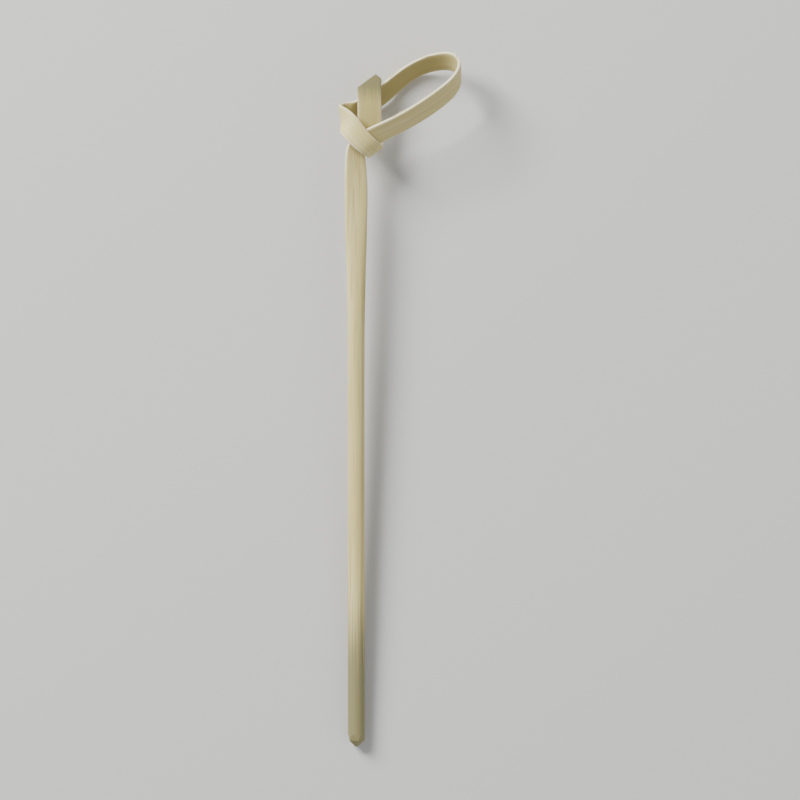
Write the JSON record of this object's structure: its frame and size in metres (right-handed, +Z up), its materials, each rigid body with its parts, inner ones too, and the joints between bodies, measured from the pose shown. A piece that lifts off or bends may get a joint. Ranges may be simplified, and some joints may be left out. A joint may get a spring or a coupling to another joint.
{
  "type": "knotted bamboo skewer",
  "caption": "Slim round bamboo skewer with a knife-cut point; its upper end is shaved to a flat strip and tied in an overhand knot with a long open loop and a short upright tail.",
  "frame": {"origin": "middle of the bounding box, on the surface that the skewer lies on", "axes": "+Y from the point towards the knot, along the length; +Z up; +X to the side that the loop leans to"},
  "size_m": [0.0158, 0.09, 0.0074],
  "materials": {
    "bamboo": "dry split bamboo, matt with a faint satin sheen along the fibres"
  },
  "bodies": {
    "root": {"skewer": "bamboo"}
  },
  "joints": []
}
